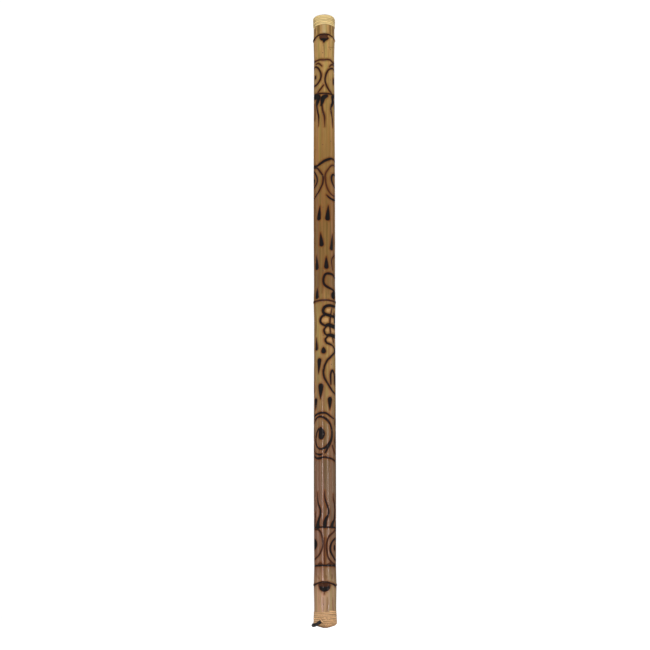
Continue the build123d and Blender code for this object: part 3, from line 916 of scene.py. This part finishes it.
def strand(route, outwards, width, bead, tone):
    """A flat strand of cane along a route of points, with its crest outwards. Its width may vary along it."""
    route = np.asarray(route, dtype=float)
    outwards = np.asarray(outwards, dtype=float)
    count = len(route)
    width = np.broadcast_to(width, count)
    ahead = np.gradient(route, axis=0)
    ahead /= np.linalg.norm(ahead, axis=1)[:, None]
    sideways = np.cross(ahead, outwards)
    sideways /= np.linalg.norm(sideways, axis=1)[:, None]
    travelled = np.concatenate(([0], np.cumsum(np.linalg.norm(np.diff(route, axis=0), axis=1))))
    points, along, across, tones = [], [], [], []
    for place, out, side, half, distance in zip(route, outwards, sideways, width / 2, travelled):
        for part, height in SECTION:
            points.append(tuple(place + side * half * part + out * bead * height))
            along.append(distance * MM)
            across.append(part)
            tones.append(tone)
    size = len(SECTION)
    faces = ring_faces(count, size)
    faces.append(tuple(range(size))[::-1])
    faces.append(tuple(range((count - 1) * size, count * size)))
    return points, faces, {"along": along, "across": across, "tone": tones}


def lashing_strand(end):
    """The turns of cane round one end. They climb to the left, and both ends of the strand are tucked in."""
    far_height, count, rim_radius, far_radius = LASHINGS[end]
    pitch = (far_height - RIM_HIGH) / count
    finish_angle = LAST_TURN_ENDS[end]
    steps = 90
    turns = count + 0.4
    total = int(steps * turns)
    knots = total // SLACK_STEPS + 2
    slack = [rng.uniform(-SLACK, SLACK) for _ in range(knots)]
    route, outwards, widths = [], [], []
    for step in range(total + 1):
        turn = step / steps
        angle = finish_angle + 360 * (turns - turn)
        share = turn / turns
        height = RIM_HIGH - pitch * 0.4 + (far_height - RIM_HIGH - pitch * 0.1) * share
        knot, past = step // SLACK_STEPS, step % SLACK_STEPS / SLACK_STEPS
        height += slack[knot] * (1 - past) + slack[knot + 1] * past
        height -= LASHING_ARCH[end] * share * max(0, cos(radians(angle))) ** 2
        tuck = min(1.0, step / 8, (total - step) / 5)
        radius = rim_radius + (far_radius - rim_radius) * share - 0.7 * (1 - tuck)
        radius += 0.09 * sin(step * 0.37) - 0.09
        route.append(around(angle, radius, height))
        outwards.append(around(angle, 1, 0))
        widths.append(pitch * (0.97 + 0.06 * sin(step * 0.11 + 1)) * (0.55 + 0.45 * tuck))
    return strand(route, outwards, widths, 0.42, 0.5)


def edging_strands(end):
    """Slanting strands that turn over the rim, side by side."""
    depth = EDGING_FOOT - COIL_EDGES[end]
    parts = []
    for number in range(EDGING_COUNT):
        angle = 360 * number / EDGING_COUNT
        slant = 11 + rng.uniform(-2, 2)
        tone = rng.uniform(0.2, 0.8)
        lift = rng.uniform(-0.15, 0.0)
        route, outwards, widths = [], [], []
        for step in range(9):
            share = step / 8
            swing = radians(2 + EDGING_SWEEP * share)
            radius = EDGING_MIDDLE + (EDGING_BULGE + lift) * cos(swing)
            height = EDGING_RISE - (depth + lift) * sin(swing) ** 1.1
            place_angle = angle + slant * (share - 0.5)
            out = around(place_angle, cos(swing), 0) + np.array((0, 0, -sin(swing)))
            route.append(around(place_angle, radius, height))
            outwards.append(out)
            widths.append(2 * pi * radius / EDGING_COUNT * EDGING_OVERLAP)
        parts.append(strand(route, outwards, widths, 0.34, tone))
    return join(parts)


def coil_height(radius, edge):
    """Height of the coiled disc's face above the stick's end, where edge is its height at its rim."""
    eye = COIL_R / COIL_TURNS
    middle = COIL_R / 2
    if radius < eye:
        return 0.0
    if radius < middle:
        return COIL_MIDDLE * (radius - eye) / (middle - eye)
    return COIL_MIDDLE + (edge - COIL_MIDDLE) * (radius - middle) / (COIL_R - middle)


def coil_strand(end):
    """The flat spiral of cane over the dome, and the button in its middle."""
    pitch = COIL_R / COIL_TURNS
    steps = 56
    total = int(steps * (COIL_TURNS - 0.6))
    route, outwards, widths = [], [], []
    for step in range(total + 1):
        radius = COIL_R - pitch * 0.35 - pitch * step / steps
        angle = 360 * step / steps
        height = coil_height(radius, COIL_EDGES[end]) + 0.55 + 0.06 * sin(step * 0.5)
        slope = 0.38 * min(1.0, radius / 6)
        route.append(around(angle, radius, height))
        outwards.append(around(angle, slope, 0) + np.array((0, 0, -1.0)))
        widths.append(pitch * (1.05 if radius > 4 else 0.9))
    outwards = [out / np.linalg.norm(out) for out in outwards]
    spiral = strand(route, outwards, widths, 0.42, 0.5)
    crossings = []
    for turn in range(3):
        angle = 60 * turn + 15
        line = []
        for reach in (-2.6, -1.6, -0.6, 0.6, 1.6, 2.6):
            line.append(around(angle, reach, 0.62 + 0.02 * turn + 0.5 * (reach / 2.6) ** 2))
        crossings.append(strand(line, [(0, 0, -1)] * len(line), 1.5, 0.3, 0.65))
    return join([spiral, *crossings])


TUCKS = {  # angle and height of each end, how far it stands proud, and its width
    "bottom": (
        (2, 15.5, 20, 19.6, 0.55, 2.4),
        (12, 20.5, 34, 14.6, 0.5, 2.4),
        (24, 12.6, 46, 17.6, 0.5, 2.6),
        (-12, 21.2, 6, 17.5, 0.35, 2.2),
        (150, 14, 172, 20, 0.5, 2.4),
        (196, 20, 214, 14.5, 0.45, 2.4),
    ),
    "top": (
        (-52, 14, -34, 19.5, 0.45, 2.4),
        (28, 19, 47, 13.2, 0.45, 2.4),
        (-70, 26, -60, 33.0, 0.5, 3.0),
        (-78, 25, -71, 31.5, 0.4, 2.4),
        (120, 15, 142, 21, 0.45, 2.4),
        (205, 21, 224, 15, 0.4, 2.4),
    ),
}


def tucks(end):
    """Short ends of cane that cross the turns."""
    far_height, _, rim_radius, far_radius = LASHINGS[end]
    parts = []
    for start_angle, start_height, end_angle, end_height, proud, width in TUCKS[end]:
        route, outwards = [], []
        for step in range(13):
            share = step / 12
            angle = start_angle + (end_angle - start_angle) * share
            height = start_height + (end_height - start_height) * share
            valley = rim_radius + (far_radius - rim_radius) * (height - RIM_HIGH) / (far_height - RIM_HIGH)
            radius = valley + proud * sin(pi * share) ** 0.6 - 0.35
            route.append(around(angle, radius, height))
            outwards.append(around(angle, 1, 0))
        parts.append(strand(route, outwards, width, 0.4, rng.uniform(0.5, 0.9)))
    return join(parts)


def loop_straps():
    """Strands that hold the two ends of the hanging loop under the lashing."""
    parts = []
    for middle, height, side in ((-17, 13.4, 1), (-167, 15.4, -1)):
        route, outwards = [], []
        for step in range(17):
            share = step / 16 * 2 - 1
            angle = middle + side * (1.0 + 9.5 * share)
            radius = 21.6 + 2.6 * (1 - share * share)
            route.append(around(angle, radius, height - 4.4 * share))
            outwards.append(around(angle, 1, 0))
        parts.append(strand(route, outwards, 3.8, 0.42, 0.8))
    return join(parts)


def cane_material(name, light, dark, painted_shade_and_flecks):
    """Split cane with long fibres, with painted shade at the edges of each strand, where the strands meet."""
    graph = Graph(name)
    across = graph.value("across")
    inputs = {"X": graph.math("MULTIPLY", across, 0.0016), "Y": graph.value("along"),
              "Z": graph.math("MULTIPLY", graph.value("tone"), 0.5)}
    place = graph.node("ShaderNodeCombineXYZ", inputs).outputs[0]
    fibres = graph.noise(place, 90.0, (34, 1.2, 1), detail=5.0, roughness=0.65)
    bands = graph.noise(place, 26.0, (6, 1, 4), detail=3.0)
    colour = graph.mix(graph.share(fibres, 0.32, 0.68), dark, light)
    colour = graph.scale_brightness(colour, 0.78, 1.16, graph.share(bands, 0.32, 0.68))
    rim = graph.math("ABSOLUTE", across)
    # Painted shade in the gaps between strands, darkest at each strand's edge
    colour = graph.mix(graph.share(rim, 0.5, 0.98, 0.0, 0.92), colour, painted_shade_and_flecks)
    flecks = graph.noise(place, 500.0, (1, 0.3, 1), detail=2.0)
    # Dark flecks in the cane itself, in the same colour as the painted shade
    colour = graph.mix(graph.share(flecks, 0.66, 0.78, 0.0, 0.5), colour, painted_shade_and_flecks)
    normal = graph.bump(fibres, 0.0003)
    return graph.finish(colour, graph.share(fibres, 0.2, 0.8, 0.42, 0.62), normal, Specular_IOR_Level=0.4,
                        Coat_Weight=0.12, Coat_Roughness=0.35)


def turned_over(part):
    """The same part upside down at the top of the stick."""
    points, faces, values = part
    points = [(x, y, LENGTH - z) for x, y, z in points]
    return points, [face[::-1] for face in faces], values


def make_cane_ends():
    # The bottom cane is browner and the top cane paler
    looks = {
        # The last colour of each cane is the painted shade between strands, and also the colour of its dark
        # flecks
        "bottom": cane_material("cane_browner", srgb(255, 212, 158), srgb(205, 156, 103), srgb(104, 68, 38)),
        "top": cane_material("cane_paler", srgb(255, 236, 170), srgb(244, 206, 130), srgb(146, 104, 52)),
    }
    for end, material in looks.items():
        parts = {
            "lashing": join([lashing_strand(end), tucks(end)]),
            "rim_edging": edging_strands(end),
            "end_coil": coil_strand(end),
        }
        for name, part in parts.items():
            if end == "top":
                part = turned_over(part)
            piece = mesh_piece(f"{end}_{name}_cane", part[0], part[1], material, part[2])
            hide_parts(f"{end}_{name}")
    straps = loop_straps()
    mesh_piece("loop_straps_cane", straps[0], straps[1], looks["bottom"], straps[2])


# ---------------------------------------------------------------- pins, pebbles and plugs

PIN_ROWS, FIRST_ROW_ANGLE, PIN_RISE, LOWEST_PIN, NODE_CLEARANCE = 8, -8.0, 8.0, 44.0, 7.0
TOP_SHOULDER = 20.0


def pin_end_material():
    """Filler over a pin's end, with a dark line round it."""
    graph = Graph("pin_end_filler")
    grain = graph.noise(graph.place(), 900.0)
    colour = graph.ramp(grain, (0.3, srgb(66, 44, 28)), (0.7, srgb(96, 68, 42)))
    colour = graph.mix(graph.share(graph.value("edge"), 0.55, 0.95), colour, srgb(58, 36, 20))
    return graph.finish(colour, graph.share(grain, 0.2, 0.8, 0.35, 0.5), graph.bump(grain, 0.0001))


def make_pin_ends():
    """A low dome of filler on each pin, flush with the skin."""
    rings = ((0.0, 0.10), (0.45, 0.09), (0.8, 0.05), (1.05, -0.12))
    sides = 12
    parts = []
    turn = 0
    z = LOWEST_PIN
    while z < TOP - TOP_SHOULDER - NODE_CLEARANCE:
        if all(abs(z - node) > NODE_CLEARANCE for node in NODE_HEIGHTS):
            angle = FIRST_ROW_ANGLE + turn % PIN_ROWS * 360 / PIN_ROWS
            out, side, up = around(angle, 1, 0), around(angle + 90, 1, 0), np.array((0, 0, 1.0))
            middle = out * skin_radius(z) + up * z
            points, edge = [tuple(middle + out * rings[0][1])], [0.0]
            for radius, rise in rings[1:]:
                for corner in range(sides):
                    swing = 2 * pi * corner / sides
                    spot = middle + out * rise + (side * cos(swing) + up * sin(swing)) * radius
                    points.append(tuple(spot))
                    edge.append(radius / rings[-1][0])
            fan = [(0, 1 + corner, 1 + (corner + 1) % sides) for corner in range(sides)]
            floor = tuple(range(1 + sides * (len(rings) - 2), 1 + sides * (len(rings) - 1)))[::-1]
            faces = fan + [face[::-1] for face in ring_faces(len(rings) - 1, sides, 1)] + [floor]
            parts.append((points, faces, {"edge": edge}))
        turn += 1
        z += PIN_RISE
    points, faces, values = join(parts)
    mesh_piece("pin_ends", points, faces, pin_end_material(), values)


def pebble_material():
    """River pebbles, each of a slightly different brown or grey."""
    graph = Graph("river_pebbles")
    place = graph.place()
    stone = graph.noise(place, 110.0, detail=1.0)
    speckle = graph.noise(place, 1400.0, detail=3.0)
    colour = graph.ramp(stone, (0.3, srgb(92, 78, 66)), (0.45, srgb(138, 120, 98)), (0.58,
                                                                                     srgb(116, 112, 108)),
                        (0.72, srgb(176, 160, 138)))
    colour = graph.scale_brightness(colour, 0.75, 1.2, speckle)
    return graph.finish(colour, graph.share(speckle, 0.2, 0.8, 0.4, 0.6), graph.bump(speckle, 0.00015))


def plug_material():
    """Turned softwood, with its rings showing on the dome."""
    graph = Graph("plug_turned_wood")
    place = graph.place()
    inputs = {"Vector": place, "Scale": 220.0, "Distortion": 2.5, "Detail": 3.0}
    wave = graph.node("ShaderNodeTexWave", inputs, wave_type="RINGS", rings_direction="Y")
    rings = wave.outputs["Fac"]
    pores = graph.noise(place, 700.0, detail=3.0)
    colour = graph.ramp(rings, (0.1, srgb(150, 110, 66)), (0.8, srgb(202, 166, 112)))
    colour = graph.scale_brightness(colour, 0.85, 1.12, pores)
    return graph.finish(colour, graph.share(pores, 0.2, 0.8, 0.45, 0.65), graph.bump(rings, 0.0001))


def dress_cad_nodes():
    """Better materials on the CAD nodes that stay."""
    pins = raw_bamboo("pin_split_bamboo", srgb(168, 132, 82), srgb(212, 182, 128), (0.5, 0.7), 0.0001, 400.0)
    looks = {"pin_row_": pins, "pebbles_": pebble_material(), "plug": plug_material()}
    for name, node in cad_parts.items():
        for key, material in looks.items():
            if key in name:
                for slot in node.material_slots:
                    slot.material = material


# ---------------------------------------------------------------- studio

STRIP_SIZE, STRIP_TINT, STRIP_AIM = (0.05, 0.62), (1.0, 0.93, 0.96), (0, 0, 0.28)  # metres
FLOOR_HALF = 9.0  # metres


def area_light(name, place, aim, size, power, colour=(1, 1, 1)):
    """A softbox at a place, turned towards aim. Places and sizes are in metres."""
    data = bpy.data.lights.new(name, "AREA")
    data.shape = "RECTANGLE"
    data.size, data.size_y = size
    data.energy = power
    data.color = colour
    light = bpy.data.objects.new(name, data)
    light.location = place
    away = [start - end for start, end in zip(place, aim)]
    tilt = atan2(hypot(away[0], away[1]), away[2])
    turn = atan2(away[1], away[0]) + pi / 2
    light.rotation_euler = (tilt, 0, turn)
    light.visible_camera = False
    bpy.context.scene.collection.objects.link(light)


def make_studio():
    scene = bpy.context.scene
    scene.view_settings.view_transform = "Standard"
    scene.view_settings.look = "None"

    world = bpy.data.worlds.new("studio")
    scene.world = world
    world.use_nodes = True
    nodes, links = world.node_tree.nodes, world.node_tree.links
    seen = nodes["Background"]
    seen.inputs["Color"].default_value = (1, 1, 1, 1)
    seen.inputs["Strength"].default_value = 1.05
    fill = nodes.new("ShaderNodeBackground")
    fill.inputs["Color"].default_value = (1, 0.985, 0.97, 1)
    fill.inputs["Strength"].default_value = 0.11
    choice = nodes.new("ShaderNodeMixShader")
    path = nodes.new("ShaderNodeLightPath")
    links.new(path.outputs["Is Camera Ray"], choice.inputs["Fac"])
    links.new(fill.outputs[0], choice.inputs[1])
    links.new(seen.outputs[0], choice.inputs[2])
    links.new(choice.outputs[0], nodes["World Output"].inputs["Surface"])

    half_way = (0, 0, LENGTH / 2 * MM)
    area_light("overhead", (0.0, -2.3, 2.9), half_way, (2.2, 1.4), 42)
    area_light("left_side", (-2.4, -0.3, 1.0), half_way, (0.9, 2.0), 9.0)
    area_light("right_side", (2.4, -0.3, 1.0), half_way, (0.9, 2.0), 9.0)
    area_light("left_strip", (-0.58, -1.27, 0.30), STRIP_AIM, STRIP_SIZE, 5.0, STRIP_TINT)
    area_light("right_strip", (0.80, -1.27, 0.30), STRIP_AIM, STRIP_SIZE, 4.4, STRIP_TINT)
    area_light("back", (0.6, 2.6, 1.8), half_way, (2.2, 1.6), 16)

    mesh = bpy.data.meshes.new("floor")
    corners = [(x * FLOOR_HALF, y * FLOOR_HALF, 0) for x, y in ((-1, -1), (1, -1), (1, 1), (-1, 1))]
    mesh.from_pydata(corners, [], [(0, 1, 2, 3)])
    floor = bpy.data.objects.new("floor", mesh)
    scene.collection.objects.link(floor)
    graph = Graph("floor_paper")
    grain = graph.noise(graph.place(), 40.0)
    colour = graph.ramp(grain, (0.3, (0.93, 0.93, 0.93, 1)), (0.7, (0.95, 0.95, 0.95, 1)))
    camera_ray = graph.node("ShaderNodeLightPath").outputs["Is Camera Ray"]
    graph.tree.links.new(graph.math("MULTIPLY", camera_ray, 0.9), graph.shader.inputs["Emission Strength"])
    graph.shader.inputs["Emission Color"].default_value = (1, 1, 1, 1)
    mesh.materials.append(graph.finish(colour, 0.9, None, Specular_IOR_Level=0.0))


make_camera()
make_hanging_loop()
make_culm()
make_cane_ends()
make_pin_ends()
dress_cad_nodes()
make_studio()
